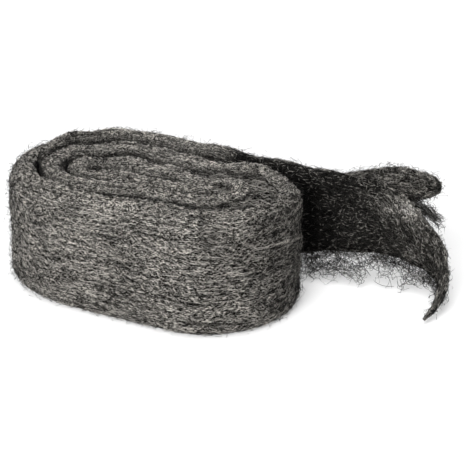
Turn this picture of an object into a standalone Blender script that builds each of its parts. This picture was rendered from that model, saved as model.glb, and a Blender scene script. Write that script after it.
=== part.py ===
"""A bundle of steel wool: one ribbon of matted steel fibre, wound into an oval roll that stands on its edge.

The inner end of the ribbon lies in the front of the innermost turn. From there the ribbon runs clockwise,
seen from above: along the front, round the left end, along the back, round the right end and over itself.
Its torn outer end leaves the back of the roll as a tail, and parts into an upper lock, which stands straight
out, and a lower lock, which droops and curls forward down to the floor.

Units are metres. +Z is up, the roll stands on Z = 0, +X runs along its long axis and -Y is its front.
The origin is on the floor, in the middle of the finished bundle's length and depth.
"""

import math

import bmesh
import bpy
import numpy as np
from mathutils import Matrix, Vector, noise
from mathutils.geometry import interpolate_bezier

# The ribbon
RIBBON_WIDTH = 0.075  # the height of the roll as it stands
RIBBON_THICKNESS = 0.0154
RIM_HEIGHT = 0.012  # how far down the soft upper edge is rounded where nothing lies against it
INNER_RIM_HEIGHT = 0.0055  # the same where another turn lies against it
FOOT_HEIGHT = 0.006  # how far up the lower edge is rounded, above the pressed-flat foot
FOOT_FLAT = 0.5  # share of the thickness that is pressed flat where the roll stands

# The slit, the outline that the innermost turn is folded round, with the eye at its left end
SLIT_HALF_LENGTH = 0.037
SLIT_HALF_WIDTH = 0.001
EYE_BULGE = 0.011
SLIT_CLEARANCE = 0.0012  # half of the air left in the slit's middle by the padding of the innermost turn
PADDING_REACH = 0.11  # half of the stretch of the turn that is padded, in the middle of each long side
SLIT_SHIFT = -0.007  # from the middle of the roll to the middle of the slit

# The winding, where places along the ribbon are turns counted from the right end of the slit
FRONT_MIDDLE = 0.25
LEFT_END = 0.5
BACK_MIDDLE = 0.75
TURN_GAP = 0.0005
WINDING_START = 0.02
WHOLE_TURNS = 2
LEAVING_SHARE = 0.82  # where in the turn after the whole ones the tail leaves the roll
CLIMB_START = -0.14  # each turn climbs over the end of the one inside it about the right end
CLIMB_END = 0.02
RIGHT_HOLLOW = 0.013  # how far the outer turn stands off the one inside it at the right end
RIGHT_HOLLOW_MIDDLE = 0.03  # where the hollow is widest, as a share of the turn past the right end
RIGHT_HOLLOW_REACH = 0.27  # half of the stretch of the turn that this hollow takes
LEFT_HOLLOW = 0.002
LEFT_HOLLOW_REACH = 0.3
BELLY = 0.004  # how far the outer turn's sides stand off in their middles, with less for each turn further in

# The soft edges
LEFT_FLARE = 0.006  # how far the outer turn's foot spreads past its rim at the left end
LEFT_FLARE_REACH = 0.2
INNER_DROP = 0.006  # how much lower the innermost turn's edge lies than the outer one's
BACK_DIP = 0.0045  # how much lower the edge lies along the back
CREST_WAVE = 0.0009
CREST_WAVES_PER_TURN = 4.3
SQUEEZE = 0.06  # share of the thickness that comes and goes along the ribbon
SQUEEZES_PER_TURN = 3.6
LUMP_HEIGHT = 0.0019  # the soft lumps of the wool, which move its walls sideways and its rims up and down
LUMP_REACH = 0.021
RIM_CHANGE = 0.1  # how much of a turn the outer rim takes to grow round, where the turn outside it ends

# The tail, whose trunk runs on into the lower lock
TRUNK_LENGTH = 0.091
TRUNK_SWING = 0.002  # how far its end lies behind the point where it leaves the roll
TRUNK_END_THICKNESS = 0.0125
TRUNK_TOP = 0.0645
TRUNK_RISE = 0.017  # how far its lower edge lifts off the floor
LOWER_LOCK_REACH = 0.048
LOWER_LOCK_OVERHANG = 0.019  # how far it bows out past its tip
LOWER_LOCK_CURL = 0.038  # how far forward of the trunk's end the tip lies
LOWER_LOCK_LEVEL_START = 0.021  # how far it keeps the trunk's direction
LOWER_LOCK_BOW_DEPTH = 0.1  # where it bows out furthest, as shares of its curl and of the trunk's height
LOWER_LOCK_BOW_HEIGHT = 0.45
LOCK_TIP = 0.003  # width and thickness of the tip, which lies on the floor
LOCK_FULLNESS = 1.2  # 1 tapers it evenly, and more keeps it wide for longer

# The upper lock
UPPER_LOCK_ROOT = 0.024  # how far inside the trunk it starts
UPPER_LOCK_HEIGHT = 0.0525  # of the middle of its root above the floor
UPPER_LOCK_REACH = 0.064
UPPER_LOCK_RISE = 0.0085
UPPER_LOCK_LEVEL_START = 0.029  # how far it keeps the trunk's direction, and how far it is straight at its tip
UPPER_LOCK_LEVEL_END = 0.019
UPPER_LOCK_EARLY_RISE = 0.75  # share of the rise at the end of the first stretch
UPPER_LOCK_LATE_RISE = 0.2  # share by which it rises past its tip before it droops to it
UPPER_LOCK_BLUNTNESS = 4  # 2 ends it like an oval, and more makes it fuller near its tip
UPPER_LOCK_SWING = 0.012  # backward
UPPER_LOCK_WIDTH = 0.023
UPPER_LOCK_THICKNESS = 0.009

# How finely the shapes are drawn
STATIONS_PER_TURN = 72
MID_WINDING = 0.03  # the offset from the slit at which the stations are evenly spaced
RIM_STEPS = 4
FOOT_STEPS = 2
WALL_STEPS = 4
TRUNK_STEPS = 12
END_STEPS = 4  # stations over which a free end is rounded off
LOCK_STEPS = 16

STEEL_WOOL_COLOUR = (0.13, 0.125, 0.12, 1.0)
STEEL_WOOL_ROUGHNESS = 0.6
STEEL_WOOL_METALLIC = 0.7


def smooth_step(share):
    """0 to 1 with level ends, for a number or an array."""
    share = np.clip(share, 0.0, 1.0)
    return share * share * (3 - 2 * share)


def hump(place, middle, reach):
    """1 at the middle, falling to 0 at the reach."""
    return 1 - smooth_step(abs(place - middle) / reach)


def slit_outline(angle):
    """Points and outward normals of the slit's outline, a flat oval that swells into the eye on the left."""
    left = (1 - np.cos(angle)) / 2
    half_width = SLIT_HALF_WIDTH + EYE_BULGE * left
    swelling = EYE_BULGE * np.sin(angle) / 2
    points = np.stack([SLIT_SHIFT + SLIT_HALF_LENGTH * np.cos(angle), half_width * np.sin(angle)], axis=-1)
    along_x = -SLIT_HALF_LENGTH * np.sin(angle)
    along_y = half_width * np.cos(angle) + swelling * np.sin(angle)
    normals = np.stack([along_y, -along_x], axis=-1)
    return points, normals / np.linalg.norm(normals, axis=-1, keepdims=True)


def slit_at(places):
    """Slit points and normals at places along the winding, evenly spaced by length part way out."""
    angles = np.linspace(0, -2 * math.pi, 1441)
    points, normals = slit_outline(angles)
    steps = np.diff(points + MID_WINDING * normals, axis=0)
    lengths = np.concatenate([[0.0], np.cumsum(np.linalg.norm(steps, axis=1))])
    return slit_outline(np.interp(places % 1, lengths / lengths[-1], angles))


def inner_offset(place):
    """How far the ribbon's inner face lies from the slit."""
    layers = 0.0
    for turn in range(1, WHOLE_TURNS + 2):
        layers += smooth_step((place - turn - CLIMB_START) / (CLIMB_END - CLIMB_START))
    hollows = LEFT_HOLLOW * hump(place, WHOLE_TURNS + LEFT_END, LEFT_HOLLOW_REACH)
    for right_end in (WHOLE_TURNS, WHOLE_TURNS + 1):
        hollows += RIGHT_HOLLOW * hump(place, right_end + RIGHT_HOLLOW_MIDDLE, RIGHT_HOLLOW_REACH)
    sides = (1 - np.cos(4 * math.pi * place)) / 2
    belly = BELLY * sides * place / (WHOLE_TURNS + LEAVING_SHARE)
    return TURN_GAP / 2 + layers * (RIBBON_THICKNESS + TURN_GAP) + hollows + belly


def padding_at(place):
    """How much thicker the innermost turn is, on its inner side, so that it closes the slit but for the eye."""
    padding = SLIT_HALF_WIDTH + EYE_BULGE / 2 - SLIT_CLEARANCE
    return padding * (hump(place, FRONT_MIDDLE, PADDING_REACH) + hump(place, BACK_MIDDLE, PADDING_REACH))


def thickness_at(place):
    swing = 0.5 + 0.5 * np.sin(2 * math.pi * SQUEEZES_PER_TURN * place)
    return RIBBON_THICKNESS * (1 - SQUEEZE * swing)


def crest_at(place):
    """Height of the ribbon's upper edge above the floor."""
    leaving = WHOLE_TURNS + LEAVING_SHARE
    drop = INNER_DROP * (1 - place / leaving)
    back = (1 - np.cos(2 * math.pi * (place - FRONT_MIDDLE))) / 2
    wave = CREST_WAVE * np.sin(2 * math.pi * CREST_WAVES_PER_TURN * place)
    return RIBBON_WIDTH - CREST_WAVE - drop - BACK_DIP * back + wave


def outer_rim_at(place):
    """How far down the rim's outer side is rounded: further once no turn lies outside it."""
    open_from = WHOLE_TURNS + LEAVING_SHARE - 1
    opened = smooth_step((place - open_from) / RIM_CHANGE)
    return INNER_RIM_HEIGHT + (RIM_HEIGHT - INNER_RIM_HEIGHT) * opened


def profile_side(half_height, foot_flat, foot_height, rim_height):
    """Across (0 to 1) and height (from the middle) of the points up one side of a section, from foot to crest."""
    foot_height, rim_height = (min(height, 0.95 * half_height) for height in (foot_height, rim_height))
    side = [(foot_flat, -half_height)]
    for step in range(1, FOOT_STEPS + 1):
        angle = math.pi / 2 * step / FOOT_STEPS
        across = foot_flat + (1 - foot_flat) * math.sin(angle)
        side.append((across, -half_height + foot_height * (1 - math.cos(angle))))
    wall_low, wall_high = foot_height - half_height, half_height - rim_height
    for step in range(1, WALL_STEPS + 1):
        side.append((1.0, wall_low + (wall_high - wall_low) * step / WALL_STEPS))
    for step in range(1, RIM_STEPS + 1):
        angle = math.pi / 2 * step / RIM_STEPS
        side.append((math.cos(angle), wall_high + rim_height * math.sin(angle)))
    return side


def ribbon_profile(half_height, foot_flat, foot_height, inner_rim, outer_rim):
    """The points round a section: up its outer side and down its inner side, which has the negative numbers."""
    outer = profile_side(half_height, foot_flat, foot_height, outer_rim)
    inner = profile_side(half_height, foot_flat, foot_height, inner_rim)
    return outer + [(-across, height) for across, height in reversed(inner[:-1])]


def section(middle, sideways, upright, half_thickness, profile):
    """A section's points, moved by the wool's lumps: its walls sideways, more so higher up, and its rim upward."""
    points = []
    crest = max(height for across, height in profile)
    for across, height in profile:
        point = middle + sideways * (half_thickness * across) + upright * height
        raised = 0.5 + 0.5 * height / crest
        lump = LUMP_HEIGHT * noise.noise(point / LUMP_REACH)
        points.append(point + sideways * (lump * raised) + upright * (lump * raised**4))
    return points


def roundness(steps_from_end):
    """How much of its thickness a section keeps near a free end, so that the end is round and not cut square."""
    back = 1 - (steps_from_end + 0.5) / END_STEPS
    return math.sqrt(1 - back * back) if back > 0 else 1.0


def wound_rings():
    """Sections of the wound ribbon, from its inner end to where the tail leaves."""
    count = round((WHOLE_TURNS + LEAVING_SHARE - WINDING_START) * STATIONS_PER_TURN)
    places = WINDING_START + np.arange(count + 1) / STATIONS_PER_TURN
    points, normals = slit_at(places)
    middles = []
    rings = []
    for step, place in enumerate(places):
        padding = padding_at(place)
        half_thickness = (thickness_at(place) + padding) / 2
        half_height = crest_at(place) / 2
        outward = Vector(normals[step]).to_3d()
        middle = Vector(points[step]).to_3d() + outward * (inner_offset(place) - padding + half_thickness)
        middle.z = half_height
        flare = LEFT_FLARE * hump(place, WHOLE_TURNS + LEFT_END, LEFT_FLARE_REACH) / (2 * half_height)
        upright = Vector((0, 0, 1)) - outward * flare
        outer_rim = outer_rim_at(place)
        profile = ribbon_profile(half_height, FOOT_FLAT, FOOT_HEIGHT, INNER_RIM_HEIGHT, outer_rim)
        rings.append(section(middle, outward, upright, half_thickness * roundness(step), profile))
        middles.append(middle)
    heading = (middles[-1] - middles[-2]).normalized()
    return rings, middles[-1], heading, half_thickness


def trunk_end(leaving):
    return Vector((leaving.x + TRUNK_LENGTH, leaving.y + TRUNK_SWING, (TRUNK_TOP + TRUNK_RISE) / 2))


def tail_path(leaving, heading):
    """The middle line of the trunk, from where it leaves the roll, and then of the lower lock, down to its tip."""
    end = trunk_end(leaving)
    tip = Vector((end.x + LOWER_LOCK_REACH, end.y - LOWER_LOCK_CURL, LOCK_TIP))
    level = Vector((TRUNK_LENGTH / 3, 0, 0))
    trunk = interpolate_bezier(leaving, leaving + heading * level.length, end - level, end, TRUNK_STEPS + 1)
    for step, middle in enumerate(trunk):
        middle.z = sum(trunk_edges(leaving, step / TRUNK_STEPS)) / 2
    bow_y = end.y + LOWER_LOCK_BOW_DEPTH * LOWER_LOCK_CURL
    bow = Vector((tip.x + LOWER_LOCK_OVERHANG, bow_y, LOWER_LOCK_BOW_HEIGHT * end.z))
    lock = interpolate_bezier(end, end + Vector((LOWER_LOCK_LEVEL_START, 0, 0)), bow, tip, LOCK_STEPS + 1)
    return trunk + lock[1:]


def trunk_edges(leaving, share):
    """Heights of the trunk's lower and upper edges."""
    crest = 2 * leaving.z
    return TRUNK_RISE * smooth_step(share), crest + (TRUNK_TOP - crest) * share


def across_path(path, step):
    """Sideways and upright directions at a point of a path: square to it, with sideways level."""
    along = (path[min(step + 1, len(path) - 1)] - path[max(step - 1, 0)]).normalized()
    sideways = Vector((-along.y, along.x, 0)).normalized()
    return sideways, along.cross(sideways)


def tail_rings(leaving, heading, leaving_half_thickness):
    """Sections of the trunk, whose lower edge lifts off the floor and grows round, and of the lower lock."""
    path = tail_path(leaving, heading)
    trunk_half_thickness = TRUNK_END_THICKNESS / 2
    trunk_half_height = (TRUNK_TOP - TRUNK_RISE) / 2
    rings = []
    for step in range(1, len(path)):
        if step <= TRUNK_STEPS:
            share = step / TRUNK_STEPS
            low, high = trunk_edges(leaving, share)
            half_height = (high - low) / 2
            half_thickness = leaving_half_thickness + (trunk_half_thickness - leaving_half_thickness) * share
            foot_flat = FOOT_FLAT * (1 - share)
            foot_height = FOOT_HEIGHT + (RIM_HEIGHT - FOOT_HEIGHT) * share
            inner_rim = INNER_RIM_HEIGHT + (RIM_HEIGHT - INNER_RIM_HEIGHT) * share
        else:
            taper = ((step - TRUNK_STEPS) / LOCK_STEPS) ** LOCK_FULLNESS
            half_height = trunk_half_height + (LOCK_TIP / 2 - trunk_half_height) * taper
            half_thickness = trunk_half_thickness + (LOCK_TIP / 2 - trunk_half_thickness) * taper
            foot_flat, foot_height, inner_rim = 0.0, RIM_HEIGHT, RIM_HEIGHT
        profile = ribbon_profile(half_height, foot_flat, foot_height, inner_rim, RIM_HEIGHT)
        sideways, upright = across_path(path, step)
        rings.append(section(path[step], sideways, upright, half_thickness, profile))
    return rings


def upper_lock_rings(end):
    """Oval sections of the lock that stands straight out of the trunk, with a blunt end."""
    root = Vector((end.x - UPPER_LOCK_ROOT, end.y, UPPER_LOCK_HEIGHT))
    tip = root + Vector((UPPER_LOCK_REACH, UPPER_LOCK_SWING, UPPER_LOCK_RISE))
    first = root + Vector((UPPER_LOCK_LEVEL_START, 0, UPPER_LOCK_RISE * UPPER_LOCK_EARLY_RISE))
    second = tip + Vector((-UPPER_LOCK_LEVEL_END, 0, UPPER_LOCK_RISE * UPPER_LOCK_LATE_RISE))
    path = interpolate_bezier(root, first, second, tip, LOCK_STEPS + 1)
    rings = []
    for step in range(LOCK_STEPS + 1):
        sideways, upright = across_path(path, step)
        kept = (1 - (step / (LOCK_STEPS + 0.35)) ** UPPER_LOCK_BLUNTNESS) ** 0.5
        half_height = kept * UPPER_LOCK_WIDTH / 2
        profile = ribbon_profile(half_height, 0.0, half_height, half_height, half_height)
        rings.append(section(path[step], sideways, upright, kept * UPPER_LOCK_THICKNESS / 2, profile))
    return rings


def loft(name, rings, collection):
    """A closed solid through rings of as many points each, with a flat cap on each end."""
    bm = bmesh.new()
    loops = [[bm.verts.new(point) for point in ring] for ring in rings]
    for near, far in zip(loops, loops[1:]):
        for side in range(len(near)):
            after = (side + 1) % len(near)
            bm.faces.new((near[side], near[after], far[after], far[side]))
    bm.faces.new(loops[0])
    bm.faces.new(loops[-1])
    bmesh.ops.recalc_face_normals(bm, faces=bm.faces)
    mesh = bpy.data.meshes.new(name)
    bm.to_mesh(mesh)
    bm.free()
    solid = bpy.data.objects.new(name, mesh)
    collection.objects.link(solid)
    return solid


def join(solid, other):
    """Makes one solid of two that run into each other, and keeps the result as the first one's own mesh."""
    union = solid.modifiers.new("Union with " + other.name, "BOOLEAN")
    union.operation = "UNION"
    union.solver = "EXACT"
    union.object = other
    bpy.context.view_layer.update()
    joined = bpy.data.meshes.new_from_object(solid.evaluated_get(bpy.context.evaluated_depsgraph_get()))
    solid.modifiers.clear()
    solid.data = joined
    bpy.data.objects.remove(other)


def stand_on_origin(solid):
    """Moves the mesh so that the origin is under the middle of its bounding box, on the floor."""
    corners = [Vector(corner) for corner in solid.bound_box]
    middle_x = (min(c.x for c in corners) + max(c.x for c in corners)) / 2
    middle_y = (min(c.y for c in corners) + max(c.y for c in corners)) / 2
    solid.data.transform(Matrix.Translation((-middle_x, -middle_y, 0)))


def steel_wool_material():
    material = bpy.data.materials.new("steel_wool")
    material.use_nodes = True
    shader = material.node_tree.nodes["Principled BSDF"]
    shader.inputs["Base Color"].default_value = STEEL_WOOL_COLOUR
    shader.inputs["Roughness"].default_value = STEEL_WOOL_ROUGHNESS
    shader.inputs["Metallic"].default_value = STEEL_WOOL_METALLIC
    return material


def new_collection(name):
    collection = bpy.data.collections.new(name)
    bpy.context.scene.collection.children.link(collection)
    return collection


def main():
    for old in list(bpy.data.objects):
        bpy.data.objects.remove(old)
    bundle = new_collection("Steel wool bundle")
    helpers = new_collection("Shapes joined to the roll")

    rings, leaving, heading, half_thickness = wound_rings()
    rings += tail_rings(leaving, heading, half_thickness)
    roll = loft("steel_wool_roll", rings, bundle)
    lock = loft("upper_lock", upper_lock_rings(trunk_end(leaving)), helpers)
    join(roll, lock)
    stand_on_origin(roll)
    roll.data.materials.clear()
    roll.data.materials.append(steel_wool_material())
    roll.data.shade_smooth()


main()
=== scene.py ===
"""The looks of a bundle of steel wool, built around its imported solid.

The wound ribbon, its torn tail and the two locks at the tail's end are drawn again from the solid's own
sizes, finer and lumpier, as the dense dark wool inside. Over it lie tens of thousands of separate steel
fibres, which Geometry Nodes comb along the winding, with strays, loops and a sparse fringe under the tail.
"""

import math

import bpy
import numpy as np
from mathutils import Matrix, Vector, noise
from mathutils.bvhtree import BVHTree
from mathutils.geometry import interpolate_bezier


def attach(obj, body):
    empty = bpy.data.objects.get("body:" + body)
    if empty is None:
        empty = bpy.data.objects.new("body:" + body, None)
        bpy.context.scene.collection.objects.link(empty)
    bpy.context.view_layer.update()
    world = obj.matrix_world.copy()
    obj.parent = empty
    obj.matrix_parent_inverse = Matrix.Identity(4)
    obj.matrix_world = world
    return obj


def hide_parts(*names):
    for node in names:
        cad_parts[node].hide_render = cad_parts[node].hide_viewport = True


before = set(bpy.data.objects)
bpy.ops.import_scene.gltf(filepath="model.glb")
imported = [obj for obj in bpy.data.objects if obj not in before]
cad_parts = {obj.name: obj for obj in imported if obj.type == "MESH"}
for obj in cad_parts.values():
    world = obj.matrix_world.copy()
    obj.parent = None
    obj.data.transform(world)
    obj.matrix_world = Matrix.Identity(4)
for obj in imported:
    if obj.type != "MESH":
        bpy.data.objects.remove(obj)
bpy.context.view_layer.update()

# The camera, which stands where the photograph was taken from
CAMERA_AZIMUTH = math.radians(25.05)
CAMERA_ELEVATION = math.radians(25.99)
CAMERA_DISTANCE = 0.57
CAMERA_AIM = Vector((0.01386, -0.00242, 0.0375))
CAMERA_LENS = 76.6
CAMERA_SENSOR = 36.0

# The solid's own sizes, in metres and in turns of the winding, as its source gives them

# The ribbon
RIBBON_WIDTH = 0.075  # the height of the roll as it stands
RIBBON_THICKNESS = 0.0154
RIM_HEIGHT = 0.012  # how far down the soft upper edge is rounded where nothing lies against it
INNER_RIM_HEIGHT = 0.0055  # the same where another turn lies against it
FOOT_HEIGHT = 0.006  # how far up the lower edge is rounded, above the pressed-flat foot
FOOT_FLAT = 0.5  # share of the thickness that is pressed flat where the roll stands

# The slit, the outline that the innermost turn is folded round, with the eye at its left end
SLIT_HALF_LENGTH = 0.037
SLIT_HALF_WIDTH = 0.001
EYE_BULGE = 0.011
SLIT_CLEARANCE = 0.0012  # half of the air left in the slit's middle by the padding of the innermost turn
PADDING_REACH = 0.11  # half of the stretch of the turn that is padded, in the middle of each long side
SLIT_SHIFT = -0.007  # from the middle of the roll to the middle of the slit

# The winding, where places along the ribbon are turns counted from the right end of the slit
FRONT_MIDDLE = 0.25
LEFT_END = 0.5
BACK_MIDDLE = 0.75
TURN_GAP = 0.0005
WINDING_START = 0.02
WHOLE_TURNS = 2
LEAVING_SHARE = 0.82  # where in the turn after the whole ones the tail leaves the roll
CLIMB_START = -0.14  # each turn climbs over the end of the one inside it about the right end
CLIMB_END = 0.02
RIGHT_HOLLOW = 0.013  # how far the outer turn stands off the one inside it at the right end
RIGHT_HOLLOW_MIDDLE = 0.03  # where the hollow is widest, as a share of the turn past the right end
RIGHT_HOLLOW_REACH = 0.27  # half of the stretch of the turn that this hollow takes
LEFT_HOLLOW = 0.002
LEFT_HOLLOW_REACH = 0.3
BELLY = 0.004  # how far the outer turn's sides stand off in their middles, with less for each turn further in

# The soft edges
LEFT_FLARE = 0.006  # how far the outer turn's foot spreads past its rim at the left end
LEFT_FLARE_REACH = 0.2
INNER_DROP = 0.006  # how much lower the innermost turn's edge lies than the outer one's
BACK_DIP = 0.0045  # how much lower the edge lies along the back
CREST_WAVE = 0.0009
CREST_WAVES_PER_TURN = 4.3
SQUEEZE = 0.06  # share of the thickness that comes and goes along the ribbon
SQUEEZES_PER_TURN = 3.6
LUMP_HEIGHT = 0.0019  # the soft lumps of the wool, which move its walls sideways and its rims up and down
LUMP_REACH = 0.021
RIM_CHANGE = 0.1  # how much of a turn the outer rim takes to grow round, where the turn outside it ends

# The tail, whose trunk runs on into the lower lock
TRUNK_LENGTH = 0.091
TRUNK_SWING = 0.002  # how far its end lies behind the point where it leaves the roll
TRUNK_END_THICKNESS = 0.0125
TRUNK_TOP = 0.0645
TRUNK_RISE = 0.017  # how far its lower edge lifts off the floor
LOWER_LOCK_REACH = 0.048
LOWER_LOCK_OVERHANG = 0.019  # how far it bows out past its tip
LOWER_LOCK_CURL = 0.038  # how far forward of the trunk's end the tip lies
LOWER_LOCK_LEVEL_START = 0.021  # how far it keeps the trunk's direction
LOWER_LOCK_BOW_DEPTH = 0.1  # where it bows out furthest, as shares of its curl and of the trunk's height
LOWER_LOCK_BOW_HEIGHT = 0.45
LOCK_TIP = 0.003  # width and thickness of the tip, which lies on the floor
LOCK_FULLNESS = 1.2  # 1 tapers it evenly, and more keeps it wide for longer

# The upper lock
UPPER_LOCK_ROOT = 0.024  # how far inside the trunk it starts
UPPER_LOCK_HEIGHT = 0.0525  # of the middle of its root above the floor
UPPER_LOCK_REACH = 0.064
UPPER_LOCK_RISE = 0.0085
UPPER_LOCK_LEVEL_START = 0.029  # how far it keeps the trunk's direction, and is straight at its tip
UPPER_LOCK_LEVEL_END = 0.019
UPPER_LOCK_EARLY_RISE = 0.75  # share of the rise at the end of the first stretch
UPPER_LOCK_LATE_RISE = 0.2  # share by which it rises past its tip before it droops to it
UPPER_LOCK_BLUNTNESS = 4  # 2 ends it like an oval, and more makes it fuller near its tip
UPPER_LOCK_END = 0.35  # how many steps past its last section it would come to a point
UPPER_LOCK_SWING = 0.012  # backward
UPPER_LOCK_WIDTH = 0.023
UPPER_LOCK_THICKNESS = 0.009

# How finely the wool is drawn
STATIONS_PER_TURN = 72
SLIT_POINTS = 1441
MID_WINDING = 0.03  # the offset from the slit at which the stations are evenly spaced
TRUNK_STEPS = 12
LOCK_STEPS = 16
END_STEPS = 4
FINER_ALONG = 4  # times as many sections as the solid has, and times as many points as a strip is given
FINER_STRIP = 8
PROFILE_POINTS = 56
LOCK_PROFILE_POINTS = 32
CORNER_POINTS = 9
CORNER_MOST = 0.95  # of a section's half height that the rounding of one corner may take
WEB_ROWS = 8
STRIP_ROWS = 5

# The columns of a section's row of numbers, of which the last four say how its edges are rounded
MIDDLE, SIDEWAYS, UPRIGHT = slice(0, 3), slice(3, 6), slice(6, 9)
HALF_HEIGHT, HALF_THICKNESS = 9, 10

# The finer unevenness of the wool: height, reach along the ribbon, reach across it, and which noise
BUNDLES = (0.0007, 0.026, 0.0055, 0.5)
STRANDS = (0.0004, 0.011, 0.0022, 7.5)
RIM_FOLDS = (0.0009, 0.034, 0.0034, 3.5)
RIM_FOLDS_FULL = 0.625  # how far the wool has to face up for the folds to be at their deepest
SUNK = 0.0006  # how far the dense wool lies inside the solid's faces, to leave room for the fibres on it

# How far round a point is looked for what covers it, and in how many level directions
EXPOSURE_REACH = 0.03
EXPOSURE_START = 0.0004
EXPOSURE_TILT = 0.9
LEVEL_DIRECTIONS = 8
COVERED, UNCOVERED = 0.45, 0.95  # the exposures at which the painted shade of covered wool is deepest, and at which it is gone

# How dark the wool is, as shares of the roll's own brightness: mostly painted shade, in the grooves, at the
# roll's ends, on the tail and in the eye
INNER_GROOVE_PAINTED_SHADE = 0.2  # the deepest painted shade in the grooves and on covered wool, on a turn's inner side, and on its outer one
OUTER_GROOVE_PAINTED_SHADE = 0.08
RIM_SHADE = 0.95
RIM_FROM, RIM_FULL = 0.3, 0.7  # how far the wool faces up where its rim starts, and where it is all rim
GROOVE_TEST_DEPTH = 0.012  # how far down it is tested whether another turn lies against a wall
GROOVE_CLOSED, GROOVE_OPEN = 0.15, 0.5  # the exposures of a wall that another turn covers, and of a free one
GROOVE_FULL = 0.0042  # how far below the crest the painted groove shade is as dark as it gets
GROOVE_BARENESS = 0.6  # how much fewer fibres grow there, so that more of the body's painted shade shows
TAIL_PAINTED_SHADOW_AND_TONE = (  # by length from where the tail leaves the roll: the roll's painted shadow on the tail's front, deepest next to the roll, over the tail's darker wool
    (0.0, 1.0), (0.012, 0.04), (0.05, 0.06), (0.1, 0.12), (0.13, 0.3), (0.2, 0.35),
)
TAIL_BACK_SHADE = 0.6  # the least on the tail's outer side, which the painted shadow spares
PAINTED_END_SHADE = (  # painted shade at the roll's two ends, by place along the roll's length
    (-0.131, 0.35), (-0.112, 0.7), (-0.095, 1.0), (0.035, 1.0), (0.05, 0.45),
)
LOCK_SHADE = 0.5
# painted shade in the eye's hollow
EYE_PAINTED_SHADE = 0.12

# Painted light in the notch between the two locks, where the white behind shows through the thin, frayed wool
NOTCH_PLACE = Vector((0.1, 0.049, 0.0515))
NOTCH_REACH = Vector((0.013, 0.02, 0.0065))
NOTCH_PAINTED_LIGHT = 1.5

# The soft dent round the eye, with painted shade in it
EYE_PLACE = Vector((-0.0705, -0.0045))
EYE_REACH = Vector((0.0095, 0.008))
EYE_DEPTH = 0.003
EYE_FROM = 0.02  # above the floor, so that the feet stay as they are

# Where each kind of coat grows
FLAT_FROM = 0.55  # how far the wool faces up or down where its wall ends and its rim or foot begins
TAIL_START = 0.01  # how far past the roll all of the coat is the tail's

# The sheets that the loosest fibres hang in
FRINGE_TOP = -0.85  # where its upper edge lies on the tail, as a share of the half height
FRINGE_DROP = 0.03
FRINGE_LEAST_DROP = 0.003
FRINGE_FULLNESS = 0.6  # 1 lets it hang in an even bow, and less keeps it deep for longer
FRINGE_BOW_START = 0.2  # how far into the bow it starts, next to the roll
FRINGE_FORWARD = 0.022  # how far its lower edge stands in front of its upper one
FRINGE_OVER_FLOOR = 0.001
FRINGE_ROWS = slice(-(TRUNK_STEPS + LOCK_STEPS - 3) * FINER_ALONG, -3 * FINER_ALONG)  # of the tail
NOTCH_UPPER = slice(8 * FINER_ALONG, 14 * FINER_ALONG)  # of the upper lock, and of the lower one
NOTCH_LOWER = slice(-(LOCK_STEPS - 1) * FINER_ALONG, -(LOCK_STEPS - 7) * FINER_ALONG)
NOTCH_UPPER_EDGE, NOTCH_LOWER_EDGE = -0.7, 0.85  # as shares of the half heights
WEB_THINNING = 1.3  # the more, the faster the fibres thin out from the upper edge
WEB_PATCHES = 140.0  # a metre
WEB_PATCH_MIDDLE, WEB_PATCH_SWING = 0.6, 2.2
WEB_PATCH_LEAST, WEB_PATCH_MOST = 0.05, 1.5
STRIP_THINNING = 0.8

# The loose wool in the hollows: high up at the right end and over the slit's end, and low down everywhere
FILLINGS = {  # from and to, along the roll and across it, height above the floor, and the painted shade of the hollow
    "filling": ((-0.008, 0.05), (-0.045, 0.02), 0.0635, 0.4),
    "low_filling": ((-0.12, 0.055), (-0.055, 0.055), 0.012, 0.25),
}
FILLING_STEP = 0.0012
FILLING_REACH = 0.08  # how far off the wool may be that closes a hollow in on all sides

# The loose strand across the front wall and the stray lock by the notch. Their points were picked in the
# photograph and followed along the camera's rays, to the solid's wall and to an upright plane.
WALL_STRAND = (
    (0.0236, -0.0511, 0.0675), (0.0305, -0.0489, 0.0637), (0.0365, -0.0446, 0.0579),
    (0.0425, -0.0378, 0.0520), (0.0467, -0.0314, 0.0506), (0.0502, -0.0233, 0.0495),
    (0.0524, -0.0116, 0.0465), (0.0530, 0.0030, 0.0430),
)
WALL_STRAND_WIDTH = 0.0016
WALL_STRAND_LIFT = 0.0011
STRAY_LOCK = ((0.098, 0.050, 0.0545), (0.106, 0.050, 0.0515), (0.112, 0.050, 0.0485), (0.117, 0.050, 0.0445))
STRAY_LOCK_WIDTH = 0.006

# The fibres, each of which draws its waves, its lift and its thickness from multiples of its own tone
LENGTH_LEAST, LENGTH_MOST = 0.5, 1.5
WAVES_FROM_TONE = (917.0, 523.0, 311.0)
WAVE_HEIGHT = 4.0  # makes up for the noise, which seldom leaves its middle quarter
LIFT_FROM_TONE = 71.3
LIFT_POWER = 3.0  # the more, the fewer fibres stand up from the wool
LEAST_LIFT = 0.1
FINENESS_FROM_TONE = 37.7
FINENESS_LEAST, FINENESS_RANGE = 0.35, 0.3
TIP_TAPER = 0.4
MERGING_DISTANCE = 1e-6
FIBRE_INPUTS = {
    "Wool": "Geometry", "Where": "String", "Fibres per square metre": "Float", "Length": "Float",
    "Points": "Int", "Thickness": "Float", "Stray angle": "Float", "Waviness": "Float",
    "Wave length": "Float", "Lift": "Float", "Looseness": "Float", "Seed": "Int", "Steel": "Material",
}
LAID = {
    "Length": 0.0034, "Points": 3, "Thickness": 0.00026, "Stray angle": 1.1, "Waviness": 0.0006,
    "Wave length": 0.003, "Lift": 0.001, "Looseness": 0.0,
}
LOOPS = {
    **LAID, "Length": 0.009, "Points": 7, "Thickness": 0.0002, "Stray angle": 3.1, "Waviness": 0.0016,
    "Wave length": 0.005, "Lift": 0.003, "Looseness": 0.85,
}
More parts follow.
